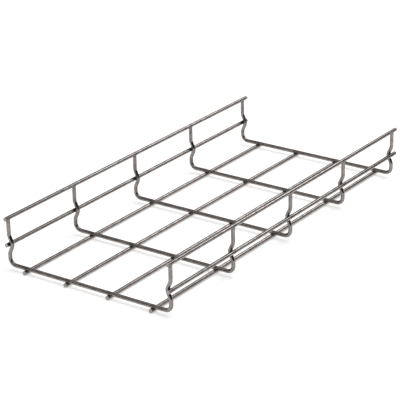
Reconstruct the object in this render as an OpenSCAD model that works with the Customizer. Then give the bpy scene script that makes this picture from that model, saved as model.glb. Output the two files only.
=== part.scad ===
/* [Tray] */
// Width over the two side walls
tray_w = 195; // [175:1:400]
// Spacing of the cross wires along the tray
cross_pitch = 100; // [40:1:200]
// Spacing of the floor wires across the tray
floor_pitch = 50; // [25:1:58]
// Length of each long wire in front of the first cross wire
front_overhang = 4.5; // [3.5:0.5:50]
// Length of each long wire behind the last cross wire
back_overhang = 7.5; // [3.5:0.5:50]
// Height from the floor wires' undersides to the top of the rim wires
tray_h = 55; // [50:1:120]

/* [Wire] */
// Diameter of the bent cross wires
cross_d = 4; // [3:0.1:5]
// Diameter of the straight long wires
long_d = 4; // [3:0.1:5]
// Depth to which a floor or rim wire is pressed into a cross wire by its weld
weld_set = 1; // [0.2:0.1:1.2]
// Depth to which a side wire is pressed into the hollow of the kink by its weld
side_weld_set = 0.3; // [0.1:0.1:1]

/* [Bends] */
// Radius of the centre line where a cross wire turns from floor to wall
corner_r = 7; // [5:0.5:9]
// Height of a side wire's centre above the centre line of the tray's floor
side_h = 21; // [20:1:25]
// Slope of the kink's two legs, from the vertical
kink_slope = 25; // [20:1:28]
// Radius of the centre line at the inmost point of the kink
kink_r = 6; // [5.5:0.5:7]
// Radius of the centre line where the kink leaves the wall, above and below
shoulder_r = 8; // [4:0.5:10]

/* [Hidden] */
$fn = 48;

cross_count = 5;
floor_count = 4;
steel_colour = [0.62, 0.59, 0.58];
// The wire is a hair thicker round its bends, and each straight run ends inside them.
bend_d = cross_d + 0.02;
bend_lap = 0.2;

// Lengthwise: the long wires reach equally far in front of and behind the origin.
tray_l = front_overhang + (cross_count - 1) * cross_pitch + back_overhang;
function cross_y(i) = front_overhang - tray_l / 2 + (i - 1) * cross_pitch;

// Heights of the centre lines, from the surface that the floor wires lie on.
floor_wire_z = long_d / 2;
cross_floor_z = floor_wire_z + (long_d + cross_d) / 2 - weld_set;
side_wire_z = cross_floor_z + side_h;
rim_wire_z = tray_h - long_d / 2;
cross_top_z = rim_wire_z - long_d / 2 + weld_set;

// Places across the tray. The wall, side and rim wires share one upright plane.
wall_x = (tray_w - max(cross_d, long_d)) / 2;
function floor_x(i) = (i - (floor_count + 1) / 2) * floor_pitch;

// The kink's rounded inmost point carries the side wire, so its sharp corner lies deeper.
kink_depth = (long_d + cross_d) / 2 - side_weld_set;
kink_corner_depth = kink_depth + kink_r * (1 / cos(kink_slope) - 1);
kink_rise = kink_corner_depth / tan(kink_slope);

// Straight lengths of a cross wire between its bends, from the floor up to its top end.
floor_run = 2 * (wall_x - corner_r);
leg_run = kink_rise / cos(kink_slope) - shoulder_r * tan(kink_slope / 2) - kink_r * tan(kink_slope);
lower_run = side_h - kink_rise - corner_r - shoulder_r * tan(kink_slope / 2);
upper_run = cross_top_z - side_wire_z - kink_rise - shoulder_r * tan(kink_slope / 2);

// Straight round wire from the origin along +X, which reaches into the bends at its ends.
// What follows it starts at its end.
module run(length, lap_after = bend_lap) {
  translate([-bend_lap, 0, 0])
    rotate([0, 90, 0])
      cylinder(h = bend_lap + length + lap_after, d = cross_d);
  translate([length, 0, 0]) children();
}

// Bent round wire from the origin, heading along +X and turning to the left, or to the
// right where the angle is negative. What follows it starts at its end.
module bend(radius, angle) {
  side = sign(angle);
  translate([0, side * radius, 0]) {
    mirror([0, (1 - side) / 2, 0])
      rotate([0, 0, -90])
        rotate_extrude(angle = abs(angle))
          translate([radius, 0])
            circle(d = bend_d);
    rotate([0, 0, angle])
      translate([0, -side * radius, 0])
        children();
  }
}

// One wall of a cross wire: the corner at the floor, then the kink, then the top.
module wall() {
  bend(corner_r, 90)
    run(lower_run) bend(shoulder_r, kink_slope)
      run(leg_run) bend(kink_r, -2 * kink_slope)
        run(leg_run) bend(shoulder_r, kink_slope)
          run(upper_run, lap_after = 0);
}

module cross_wire(i) {
  color(steel_colour)
    translate([0, cross_y(i), cross_floor_z])
      rotate([90, 0, 0]) {
        translate([-floor_run / 2, 0, 0]) run(floor_run);
        translate([floor_run / 2, 0, 0]) wall();
        mirror([1, 0, 0]) translate([floor_run / 2, 0, 0]) wall();
      }
}

// Straight wire along the tray. Its children give the shape of a cross wire that passes it,
// seen from its own centre, and each weld presses that shape into it.
module long_wire(x, z) {
  color(steel_colour)
    translate([x, 0, z])
      difference() {
        rotate([90, 0, 0])
          cylinder(h = tray_l, d = long_d, center = true);
        for (i = [1:cross_count])
          translate([0, cross_y(i), 0])
            children();
      }
}

module floor_wire(i) {
  long_wire(floor_x(i), floor_wire_z)
    translate([0, 0, cross_floor_z - floor_wire_z])
      rotate([0, 90, 0])
        cylinder(h = 2 * long_d, d = cross_d, center = true);
}

module side_wire(side) {
  long_wire(side * wall_x, side_wire_z)
    translate([side * (kink_r - kink_depth), 0, 0])
      rotate([90, 0, 0])
        rotate_extrude()
          translate([kink_r, 0])
            circle(d = bend_d);
}

module rim_wire(side) {
  long_wire(side * wall_x, rim_wire_z)
    translate([0, 0, cross_top_z - rim_wire_z - long_d])
      cylinder(h = long_d, d = cross_d);
}

for (i = [1:cross_count]) cross_wire(i);
for (i = [1:floor_count]) floor_wire(i);
side_wire(-1);  // side_wire_left
side_wire(1);  // side_wire_right
rim_wire(-1);  // rim_wire_left
rim_wire(1);  // rim_wire_right
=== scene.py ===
import math

import bmesh
import bpy
from mathutils import Matrix, Vector, noise


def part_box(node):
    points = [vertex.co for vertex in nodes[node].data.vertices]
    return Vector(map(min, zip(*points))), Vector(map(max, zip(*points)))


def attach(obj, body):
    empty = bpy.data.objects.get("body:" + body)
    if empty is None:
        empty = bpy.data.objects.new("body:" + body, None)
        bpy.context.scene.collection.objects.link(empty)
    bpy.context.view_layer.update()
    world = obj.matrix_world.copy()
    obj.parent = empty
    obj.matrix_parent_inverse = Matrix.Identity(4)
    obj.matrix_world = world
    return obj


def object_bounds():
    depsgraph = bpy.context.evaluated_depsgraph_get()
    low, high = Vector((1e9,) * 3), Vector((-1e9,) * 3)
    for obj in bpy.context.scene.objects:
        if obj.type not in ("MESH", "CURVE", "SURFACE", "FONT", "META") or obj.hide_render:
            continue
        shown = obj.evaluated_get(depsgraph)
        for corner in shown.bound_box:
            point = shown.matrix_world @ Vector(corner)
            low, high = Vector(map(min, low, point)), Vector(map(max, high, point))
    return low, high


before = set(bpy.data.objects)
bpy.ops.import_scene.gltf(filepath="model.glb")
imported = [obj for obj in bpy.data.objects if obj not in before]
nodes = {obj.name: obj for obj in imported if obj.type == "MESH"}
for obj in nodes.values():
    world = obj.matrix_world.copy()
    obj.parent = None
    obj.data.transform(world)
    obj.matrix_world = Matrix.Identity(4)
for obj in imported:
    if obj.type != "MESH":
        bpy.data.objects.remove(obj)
cad_low, cad_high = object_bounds()

# ---------------------------------------------------------------- camera
# A long lens looks along the basket from its front right corner and a little above, with
# the view rolled by one degree. It aims at the middle of the row of cross wires.
AZIMUTH = math.radians(35.58)
ELEVATION = math.radians(22.60)
ROLL = math.radians(-1.14)
DISTANCE = 1.8334
LENS_MM = 162.8
AIM_HEIGHT = 0.027
AIM_OFFSET = (-0.01074, -0.00700)

first_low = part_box("cross_wire_1")[0]
last_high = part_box("cross_wire_5")[1]
aim = Vector((0, (first_low.y + last_high.y) / 2, first_low.z + AIM_HEIGHT))
view = Vector((-math.sin(AZIMUTH) * math.cos(ELEVATION), math.cos(AZIMUTH) * math.cos(ELEVATION),
               -math.sin(ELEVATION)))
level_right = view.cross(Vector((0, 0, 1))).normalized()
level_up = level_right.cross(view)
right = math.cos(ROLL) * level_right + math.sin(ROLL) * level_up
up = math.cos(ROLL) * level_up - math.sin(ROLL) * level_right

camera_data = bpy.data.cameras.new("camera")
camera_data.lens = LENS_MM
camera = bpy.data.objects.new("camera", camera_data)
eye = aim - DISTANCE * view + AIM_OFFSET[0] * right + AIM_OFFSET[1] * up
turn = Matrix((right, up, -view)).transposed().to_4x4()
camera.matrix_world = Matrix.Translation(eye) @ turn
bpy.context.scene.collection.objects.link(camera)
bpy.context.scene.camera = camera

# ---------------------------------------------------------------- cross wires
# Five round wires of drawn steel, each bent into a U with a kink in both sides, zinc plated
# after welding. The die leaves fine lines along the wire and the bath leaves soft blotches.
CROSS_WIRES = [f"cross_wire_{i}" for i in range(1, 6)]
FLOOR_WIRES = [f"floor_wire_{i}" for i in range(1, 5)]
ZINC_LIGHT = (0.305, 0.278, 0.265, 1)
ZINC_DARK = (0.215, 0.192, 0.182, 1)
# Near black, laid on the wire beside each weld: weld tint and painted contact shade
WELD_TINT_AND_SHADE_COLOUR = (0.040, 0.032, 0.027, 1)
# Noise scales, per metre
LINE_SCALE = 2600
BLOTCH_SCALE = 240
GRAIN_SCALE = 1900
# The blotches' share of the tone; the die lines have the rest
BLOTCH_SHARE = 0.75
# The stretch of the mixed noise that becomes dark to light
TONE_RANGE = (0.36, 0.66)
LINE_DEPTH = 0.30
GRAIN_DEPTH = 0.12
ZINC_BUMP = 0.25
ZINC_RELIEF = 0.00006
# How much rougher the darkest zinc is than the lightest
DARK_ROUGHER = 0.10
# How much the noise is drawn out on each axis: a small factor makes lines along that axis
BENT_GRAIN = (0.04, 1.0, 0.04)
BENT_ROUGHNESS = 0.15
# How dark and how far along the bent wires the weld tint and painted contact shade go
BENT_TINT_AND_SHADE = 0.35
BENT_TINT_AND_SHADE_REACH = 0.0035
# The share of the reach beside a weld that is darkened in full by weld tint and painted contact shade
FULL_TINT_AND_SHADE = 0.35


def new_material(name):
    """A material with nodes; returns it, its tree and its surface shader."""
    material = bpy.data.materials.new(name)
    material.use_nodes = True
    tree = material.node_tree
    return material, tree, tree.nodes["Principled BSDF"]


def new_group(name, inputs, outputs):
    """An empty node group, with its input and output nodes."""
    group = bpy.data.node_groups.new(name, "ShaderNodeTree")
    for label, kind, value in inputs:
        socket = group.interface.new_socket(name=label, in_out="INPUT", socket_type=kind)
        socket.default_value = value
    for label, kind in outputs:
        group.interface.new_socket(name=label, in_out="OUTPUT", socket_type=kind)
    return group, group.nodes.new("NodeGroupInput"), group.nodes.new("NodeGroupOutput")


def place_group(tree, group, values):
    """Puts a node group in a material with its inputs set; returns its outputs."""
    node = tree.nodes.new("ShaderNodeGroup")
    node.node_tree = group
    for label, value in values.items():
        feed(tree, node.inputs[label], value)
    return node.outputs


def feed(tree, socket, value):
    """Links another socket to this one, or sets it to a plain value."""
    if isinstance(value, bpy.types.NodeSocket):
        tree.links.new(value, socket)
    else:
        socket.default_value = value


def math_node(tree, operation, a, b=None):
    """A Math node on two sockets or plain numbers; returns its output."""
    node = tree.nodes.new("ShaderNodeMath")
    node.operation = operation
    feed(tree, node.inputs[0], a)
    if b is not None:
        feed(tree, node.inputs[1], b)
    return node.outputs[0]


def smooth_step(tree, value, low, high, to_low=0.0, to_high=1.0):
    """A Map Range node with a smooth step; returns its output."""
    node = tree.nodes.new("ShaderNodeMapRange")
    node.interpolation_type = "SMOOTHSTEP"
    feed(tree, node.inputs["Value"], value)
    feed(tree, node.inputs["From Min"], low)
    feed(tree, node.inputs["From Max"], high)
    feed(tree, node.inputs["To Min"], to_low)
    feed(tree, node.inputs["To Max"], to_high)
    return node.outputs["Result"]


def noise_node(tree, vector, scale, detail, roughness=0.5):
    """A 3D noise on a vector; returns its value."""
    node = tree.nodes.new("ShaderNodeTexNoise")
    node.inputs["Scale"].default_value = scale
    node.inputs["Detail"].default_value = detail
    node.inputs["Roughness"].default_value = roughness
    tree.links.new(vector, node.inputs["Vector"])
    return node.outputs["Fac"]


def object_place(tree):
    """The place of a point on the object, in metres."""
    return tree.nodes.new("ShaderNodeTexCoord").outputs["Object"]


def squeezed(tree, vector, factors):
    """A vector multiplied by a factor on each axis; returns its output."""
    node = tree.nodes.new("ShaderNodeVectorMath")
    node.operation = "MULTIPLY"
    feed(tree, node.inputs[0], vector)
    feed(tree, node.inputs[1], factors)
    return node.outputs[0]


def mix_colour(tree, factor, a, b):
    """A Mix node between two colours, each a socket or a plain colour; returns its output."""
    node = tree.nodes.new("ShaderNodeMix")
    node.data_type = "RGBA"
    feed(tree, node.inputs["Factor"], factor)
    feed(tree, node.inputs["A"], a)
    feed(tree, node.inputs["B"], b)
    return node.outputs["Result"]


def bump_normal(tree, height, strength, distance):
    """A Bump node over a height; returns its normal."""
    node = tree.nodes.new("ShaderNodeBump")
    node.inputs["Strength"].default_value = strength
    node.inputs["Distance"].default_value = distance
    tree.links.new(height, node.inputs["Height"])
    return node.outputs["Normal"]


def build_drawn_zinc():
    """Die lines along a drawn wire and blotches of zinc over them, as a tone and a normal."""
    group, given, made = new_group(
        "drawn_zinc",
        [("Along", "NodeSocketVector", (1, 1, 1)), ("Line Depth", "NodeSocketFloat", LINE_DEPTH)],
        [("Tone", "NodeSocketFloat"), ("Normal", "NodeSocketVector")])
    place = object_place(group)
    stretched = squeezed(group, place, given.outputs["Along"])
    lines = noise_node(group, stretched, LINE_SCALE, detail=3, roughness=0.6)
    blotches = noise_node(group, place, BLOTCH_SCALE, detail=4, roughness=0.55)
    grains = noise_node(group, place, GRAIN_SCALE, detail=2)
    tone = math_node(group, "ADD", math_node(group, "MULTIPLY", blotches, BLOTCH_SHARE),
                     math_node(group, "MULTIPLY", lines, 1 - BLOTCH_SHARE))
    group.links.new(smooth_step(group, tone, *TONE_RANGE), made.inputs["Tone"])
    height = math_node(group, "ADD", math_node(group, "MULTIPLY", lines, given.outputs["Line Depth"]),
                       math_node(group, "MULTIPLY", grains, GRAIN_DEPTH))
    group.links.new(bump_normal(group, height, ZINC_BUMP, ZINC_RELIEF), made.inputs["Normal"])
    return group


def build_weld_tint_and_shade():
    """A mask of the stretch beside each weld, for welds evenly spaced on one coordinate, where weld
    tint and painted contact shade darken the wire.
    """
    group, given, made = new_group(
        "weld_tint_and_shade",
        [("Place", "NodeSocketFloat", 0.0), ("First", "NodeSocketFloat", 0.0),
         ("Pitch", "NodeSocketFloat", 0.1), ("Reach", "NodeSocketFloat", 0.006)],
        [("Mask", "NodeSocketFloat")])
    pitch = given.outputs["Pitch"]
    reach = given.outputs["Reach"]
    from_first = math_node(group, "SUBTRACT", given.outputs["Place"], given.outputs["First"])
    steps = math_node(group, "DIVIDE", from_first, pitch)
    off = math_node(group, "SUBTRACT", steps, math_node(group, "ROUND", steps))
    distance = math_node(group, "ABSOLUTE", math_node(group, "MULTIPLY", off, pitch))
    start = math_node(group, "MULTIPLY", reach, FULL_TINT_AND_SHADE)
    group.links.new(smooth_step(group, distance, start, reach, 1.0, 0.0), made.inputs["Mask"])
    return group


DRAWN_ZINC = build_drawn_zinc()
WELD_TINT_AND_SHADE_GROUP = build_weld_tint_and_shade()


def zinc_material(name, along, tint_and_shade_lines, tint_and_shade_depth, roughness):
    """Zinc plated wire. Its die lines run along the axes on which `along` is small. Each row of welds
    that it is given holds the coordinate, first place, pitch and reach; beside each weld the wire is
    darkened by weld tint and painted contact shade."""
    material, tree, surface = new_material(name)
    surface.inputs["Metallic"].default_value = 1.0
    drawn = place_group(tree, DRAWN_ZINC, {"Along": along, "Line Depth": LINE_DEPTH})
    split = tree.nodes.new("ShaderNodeSeparateXYZ")
    tree.links.new(object_place(tree), split.inputs[0])
    tint_and_shade = None
    for axis, first, pitch, reach in tint_and_shade_lines:
        row = place_group(tree, WELD_TINT_AND_SHADE_GROUP, {"Place": split.outputs[axis], "First": first,
                                            "Pitch": pitch, "Reach": reach})
        tint_and_shade = row["Mask"] if tint_and_shade is None else math_node(tree, "MAXIMUM", tint_and_shade, row["Mask"])
    zinc = mix_colour(tree, drawn["Tone"], ZINC_DARK, ZINC_LIGHT)
    # Weld tint and painted contact shade darken the wire beside each weld
    colour = mix_colour(tree, math_node(tree, "MULTIPLY", tint_and_shade, tint_and_shade_depth), zinc, WELD_TINT_AND_SHADE_COLOUR)
    tree.links.new(colour, surface.inputs["Base Color"])
    tree.links.new(smooth_step(tree, drawn["Tone"], 0.0, 1.0, roughness + DARK_ROUGHER, roughness),
                   surface.inputs["Roughness"])
    tree.links.new(drawn["Normal"], surface.inputs["Normal"])
    return material


def dress(names, material):
    """Gives CAD nodes one material."""
    for name in names:
        slots = nodes[name].data.materials
        slots.clear()
        slots.append(material)


floor_low, floor_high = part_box("floor_wire_1")
next_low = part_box("floor_wire_2")[0]
wire_r = (floor_high.z - floor_low.z) / 2
floor_middle = (floor_low.x + floor_high.x) / 2
floor_x = [floor_middle + i * (next_low.x - floor_low.x) for i in range(len(FLOOR_WIRES))]
cross_y = [sum(box.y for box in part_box(name)) / 2 for name in CROSS_WIRES]
floor_pitch = floor_x[1] - floor_x[0]
cross_pitch = cross_y[1] - cross_y[0]
# The bent wires are darkened beside each floor wire weld, by weld tint and painted contact shade
bent_welds = [("X", floor_x[0], floor_pitch, BENT_TINT_AND_SHADE_REACH)]
dress(CROSS_WIRES, zinc_material("zinc_bent_wire", BENT_GRAIN, bent_welds, BENT_TINT_AND_SHADE, BENT_ROUGHNESS))

# ---------------------------------------------------------------- straight wires
# Four floor wires, two side wires and two rim wires, straight from the same drawn steel and
# cut square at both ends. Each is resistance welded to every cross wire that it passes.
LOW_WIRES = FLOOR_WIRES + ["side_wire_left", "side_wire_right"]
RIM_WIRES = ["rim_wire_left", "rim_wire_right"]
CUT_STEEL = (0.42, 0.395, 0.38, 1)
CUT_SHADE = (0.31, 0.285, 0.27, 1)
CUT_ROUGHER = 0.25
# How squarely a face has to look along the wire to count as its end
END_FACING = (0.8, 0.95)
# The shear's marks: noise per metre, drawn out across the end face
MARK_SCALE = 3200
MARK_STRETCH = (0.25, 1.0, 1.0)
MARK_RANGE = (0.35, 0.65)
STRAIGHT_GRAIN = (1.0, 0.02, 1.0)
STRAIGHT_ROUGHNESS = 0.14
# How far along the straight wires, and how dark, the weld tint and painted contact shade beside each
# weld go
STRAIGHT_TINT_AND_SHADE_REACH = 0.0045
LOW_TINT_AND_SHADE = 0.5
RIM_TINT_AND_SHADE = 0.25


def build_cut_end():
    """A mask of the square-cut end faces and the marks that the shear left across them."""
    group, _, made = new_group(
        "cut_end", [], [("Mask", "NodeSocketFloat"), ("Marks", "NodeSocketFloat")])
    facing = group.nodes.new("ShaderNodeSeparateXYZ")
    group.links.new(group.nodes.new("ShaderNodeNewGeometry").outputs["Normal"], facing.inputs[0])
    along_wire = math_node(group, "ABSOLUTE", facing.outputs["Y"])
    group.links.new(smooth_step(group, along_wire, *END_FACING), made.inputs["Mask"])
    across = squeezed(group, object_place(group), MARK_STRETCH)
    marks = noise_node(group, across, MARK_SCALE, detail=3, roughness=0.6)
    group.links.new(smooth_step(group, marks, *MARK_RANGE), made.inputs["Marks"])
    return group


CUT_END = build_cut_end()


def cut_ends(material):
    """Leaves the square-cut ends of a wire duller and greyer than its plated side."""
    tree = material.node_tree
    surface = tree.nodes["Principled BSDF"]
    side_colour = surface.inputs["Base Color"].links[0].from_socket
    side_roughness = surface.inputs["Roughness"].links[0].from_socket
    cut = place_group(tree, CUT_END, {})
    steel = mix_colour(tree, cut["Marks"], CUT_SHADE, CUT_STEEL)
    tree.links.new(mix_colour(tree, cut["Mask"], side_colour, steel), surface.inputs["Base Color"])
    dull = math_node(tree, "MULTIPLY", cut["Mask"], CUT_ROUGHER)
    tree.links.new(math_node(tree, "ADD", side_roughness, dull), surface.inputs["Roughness"])
    return material


straight_welds = [("Y", cross_y[0], cross_pitch, STRAIGHT_TINT_AND_SHADE_REACH)]
for title, wires, tint_and_shade_depth in (("zinc_straight_wire", LOW_WIRES, LOW_TINT_AND_SHADE),
                                 ("zinc_rim_wire", RIM_WIRES, RIM_TINT_AND_SHADE)):
    plated = zinc_material(title, STRAIGHT_GRAIN, straight_welds, tint_and_shade_depth, STRAIGHT_ROUGHNESS)
    dress(wires, cut_ends(plated))

# ---------------------------------------------------------------- welds
# Resistance welds squeeze a little hot metal out round each crossing. It sets as a lumpy
# collar that follows the line where the two round wires meet, darker than the plated wire: partly
# dull weld metal, partly painted contact shade at the crossing.
COLLAR_THICKNESS = 0.00048
RIM_COLLAR_THICKNESS = 0.00030
COLLAR_STEPS = 40
COLLAR_SIDES = 8
# Lumps along a collar and small beads round it: noise per metre, and share of the thickness
LUMP_SCALE = 700
LUMP_DEPTH = 0.35
BEAD_SCALE = 1600
BEAD_DEPTH = 0.2
BEAD_SPREAD = 0.001
# How far out a collar lies, and how far apart the middles of the wires are at the sides, in
# wire radii
FLOOR_REACH = 0.93
SIDE_REACH = 0.84
SIDE_GAP = 1.85
# A rim collar: its half width and the half width of rim wire that it hugs, in wire radii,
# and how far it sinks at its ends, in metres
BUTT_SPREAD = 0.8
BUTT_CLIMB = 0.97
BUTT_SINK = 0.0004
# Dark collar tones: dull weld metal and painted contact shade at each crossing
WELD_DARK = (0.09, 0.078, 0.071, 1)
WELD_LIGHT = (0.20, 0.182, 0.172, 1)
PIT_SCALE = 1500
PIT_TONES = (0.38, 0.64)
PIT_RANGE = (0.3, 0.7)
WELD_ROUGHNESS = (0.6, 0.4)
WELD_BUMP = 0.5
WELD_RELIEF = 0.0002


def weld_material():
    """Zinc over rough weld metal: dull, pitted and browned by welding, and dark also as painted
    contact shade.
    """
    material, tree, surface = new_material("zinc_weld")
    surface.inputs["Metallic"].default_value = 1.0
    pits = noise_node(tree, object_place(tree), PIT_SCALE, detail=4, roughness=0.6)
    colour = mix_colour(tree, smooth_step(tree, pits, *PIT_TONES), WELD_DARK, WELD_LIGHT)
    tree.links.new(colour, surface.inputs["Base Color"])
    tree.links.new(smooth_step(tree, pits, *PIT_RANGE, *WELD_ROUGHNESS), surface.inputs["Roughness"])
    tree.links.new(bump_normal(tree, pits, WELD_BUMP, WELD_RELIEF), surface.inputs["Normal"])
    return material


def add_collar(mesh, centre, line_at, thickness):
    """Adds one closed, lumpy tube round `centre`; line_at(angle) gives its middle line."""
    rings = []
    middle = [line_at(2 * math.pi * i / COLLAR_STEPS) for i in range(COLLAR_STEPS)]
    for i, point in enumerate(middle):
        along = (middle[(i + 1) % COLLAR_STEPS] - middle[i - 1]).normalized()
        outward = (point - along * point.dot(along)).normalized()
        sideways = along.cross(outward)
        ring = []
        for j in range(COLLAR_SIDES):
            angle = 2 * math.pi * j / COLLAR_SIDES
            spot = outward * math.cos(angle) + sideways * math.sin(angle)
            lump = noise.noise((centre + point) * LUMP_SCALE) * LUMP_DEPTH
            bead = noise.noise((centre + point + spot * BEAD_SPREAD) * BEAD_SCALE) * BEAD_DEPTH
            ring.append(mesh.verts.new(centre + point + spot * thickness * (1 + (lump + bead))))
        rings.append(ring)
    for i, ring in enumerate(rings):
        after = rings[(i + 1) % COLLAR_STEPS]
        for j in range(COLLAR_SIDES):
            k = (j + 1) % COLLAR_SIDES
            mesh.faces.new((ring[j], after[j], after[k], ring[k])).smooth = True


def round_height(offset):
    """How high a wire's surface stands over its middle, at an offset across it."""
    return math.sqrt(max(0.0, wire_r ** 2 - offset ** 2))


def crossing_line(upper, across_upper, gap_way, spacing, reach):
    """The saddle-shaped line round two crossing wires, `spacing` apart along gap_way.
    `upper` is the direction of the wire on the gap_way side."""
    def line_at(angle):
        a, b = math.cos(angle), math.sin(angle)
        top = spacing / 2 - round_height(wire_r * b)
        bottom = -spacing / 2 + round_height(wire_r * a)
        height = (top + bottom) / 2
        return (upper * a + across_upper * b) * wire_r * reach + gap_way * height
    return line_at


def butt_line(angle):
    """The line round an upright wire's end where it meets the underside of a rim wire."""
    a, b = math.cos(angle), math.sin(angle)
    under = round_height(wire_r * a * BUTT_CLIMB)
    return Vector((a * wire_r * BUTT_SPREAD, b * wire_r, -under - BUTT_SINK * abs(b)))


def weld_piece(name, places, thickness=COLLAR_THICKNESS):
    """One piece that holds a row of collars."""
    mesh = bmesh.new()
    for centre, line_at in places:
        add_collar(mesh, centre, line_at, thickness)
    bmesh.ops.recalc_face_normals(mesh, faces=mesh.faces)
    data = bpy.data.meshes.new(name)
    mesh.to_mesh(data)
    mesh.free()
    data.materials.append(WELD)
    piece = bpy.data.objects.new(name, data)
    bpy.context.scene.collection.objects.link(piece)
    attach(piece, "root")


WELD = weld_material()
X, Y, Z = Vector((1, 0, 0)), Vector((0, 1, 0)), Vector((0, 0, 1))
floor_wire_z = (floor_low.z + floor_high.z) / 2
cross_floor_z = first_low.z + wire_r
floor_line = crossing_line(X, Y, Z, cross_floor_z - floor_wire_z, FLOOR_REACH)
weld_piece("floor_welds", [
    (Vector((x, y, (cross_floor_z + floor_wire_z) / 2)), floor_line)
    for x in floor_x for y in cross_y])

side_gap = SIDE_GAP * wire_r
side_places = []
rim_places = []
for side, outward in (("left", -X), ("right", X)):
    side_wire = sum(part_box(f"side_wire_{side}"), Vector()) / 2
    rim_wire = sum(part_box(f"rim_wire_{side}"), Vector()) / 2
    side_line = crossing_line(Y, Z, outward, side_gap, SIDE_REACH)
    for y in cross_y:
        side_middle = Vector((side_wire.x, y, side_wire.z)) - outward * side_gap / 2
        side_places.append((side_middle, side_line))
        rim_places.append((Vector((rim_wire.x, y, rim_wire.z)), butt_line))
weld_piece("side_welds", side_places)
weld_piece("rim_welds", rim_places, RIM_COLLAR_THICKNESS)

# ---------------------------------------------------------------- floor, backdrop and light
# A plain white studio: a matt floor that keeps a faint shadow and a white backdrop, both of
# which the metal mirrors. A ring of black flags stands round the basket, seen by the metal
# alone: it gives the wires their dark line and casts no shadow.
FLOOR_SIZE = 14.0
FLOOR_GLOW = 0.42
FLOOR_DROP = 0.0002
BACKDROP_RADIUS = 6.8
BACKDROP_HEIGHT = 5.0
BACKDROP_GLOW = 0.6
FLAG_RADIUS = 1.6
FLAG_HEIGHT = 0.88
RING_SIDES = 64
MATT_WHITE = (0.9, 0.9, 0.9, 1)
MATT_BLACK = (0.02, 0.02, 0.02, 1)
PURE_WHITE = (1, 1, 1, 1)
SURROUND_LEVEL = 0.45
KEY_STRENGTH = 1.0
KEY_SPREAD = math.radians(40)
KEY_ALONG = Vector((-0.1, -0.5, -1.8))
STRIP_POWER = 7.0
STRIP_LENGTH = 1.3
STRIP_WIDTH = 0.45
STRIP_PLACE = Vector((0.45, 1.88, 1.57))


def white_material(name, glow):
    """Matt white that also glows by `glow` where the camera, a mirror or glass sees it."""
    material, tree, surface = new_material(name)
    surface.inputs["Base Color"].default_value = MATT_WHITE
    surface.inputs["Roughness"].default_value = 1.0
    surface.inputs["Specular IOR Level"].default_value = 0.0
    surface.inputs["Emission Color"].default_value = PURE_WHITE
    rays = tree.nodes.new("ShaderNodeLightPath").outputs
    seen = math_node(tree, "MAXIMUM", rays["Is Camera Ray"],
                     math_node(tree, "MAXIMUM", rays["Is Glossy Ray"], rays["Is Transmission Ray"]))
    tree.links.new(math_node(tree, "MULTIPLY", seen, glow), surface.inputs["Emission Strength"])
    return material


def black_material():
    """Matt black cloth for the flags."""
    material, _, surface = new_material("black_flag")
    surface.inputs["Base Color"].default_value = MATT_BLACK
    surface.inputs["Roughness"].default_value = 1.0
    return material


def studio_piece(name, corners, faces, material):
    """A floor, backdrop or flag, just under the level that the basket lies on."""
    mesh = bpy.data.meshes.new(name)
    mesh.from_pydata(corners, [], faces)
    mesh.materials.append(material)
    piece = bpy.data.objects.new(name, mesh)
    piece.location.z = cad_low.z - FLOOR_DROP
    bpy.context.scene.collection.objects.link(piece)
    return piece


def studio_ring(name, radius, height, material):
    """An upright wall all round the basket."""
    angles = [math.tau * i / RING_SIDES for i in range(RING_SIDES)]
    corners = [(radius * math.cos(a), radius * math.sin(a), z) for z in (0, height) for a in angles]
    faces = [(i, (i + 1) % RING_SIDES, (i + 1) % RING_SIDES + RING_SIDES, i + RING_SIDES)
             for i in range(RING_SIDES)]
    return studio_piece(name, corners, faces, material)


def hang_lamp(name, kind, along):
    """A lamp at the origin that shines along a direction."""
    lamp = bpy.data.objects.new(name, bpy.data.lights.new(name, kind))
    lamp.rotation_mode = "QUATERNION"
    lamp.rotation_quaternion = along.to_track_quat("-Z", "Y")
    bpy.context.scene.collection.objects.link(lamp)
    return lamp


half = FLOOR_SIZE / 2
studio_piece("floor", [(-half, -half, 0), (half, -half, 0), (half, half, 0), (-half, half, 0)],
             [(0, 1, 2, 3)], white_material("white_floor", FLOOR_GLOW))
studio_ring("backdrop", BACKDROP_RADIUS, BACKDROP_HEIGHT,
            white_material("white_backdrop", BACKDROP_GLOW))
flags = studio_ring("flags", FLAG_RADIUS, FLAG_HEIGHT, black_material())
flags.visible_camera = False
flags.visible_diffuse = False
flags.visible_shadow = False

world = bpy.data.worlds.new("studio")
world.use_nodes = True
background = world.node_tree.nodes["Background"]
background.inputs["Color"].default_value = PURE_WHITE
background.inputs["Strength"].default_value = SURROUND_LEVEL
bpy.context.scene.world = world

key = hang_lamp("overhead_key", "SUN", KEY_ALONG)
key.data.energy = KEY_STRENGTH
key.data.angle = KEY_SPREAD

strip = hang_lamp("back_strip", "AREA", -STRIP_PLACE)
strip.location = STRIP_PLACE
strip.data.shape = "RECTANGLE"
strip.data.size = STRIP_LENGTH
strip.data.size_y = STRIP_WIDTH
strip.data.energy = STRIP_POWER

bpy.context.scene.view_settings.view_transform = "Standard"
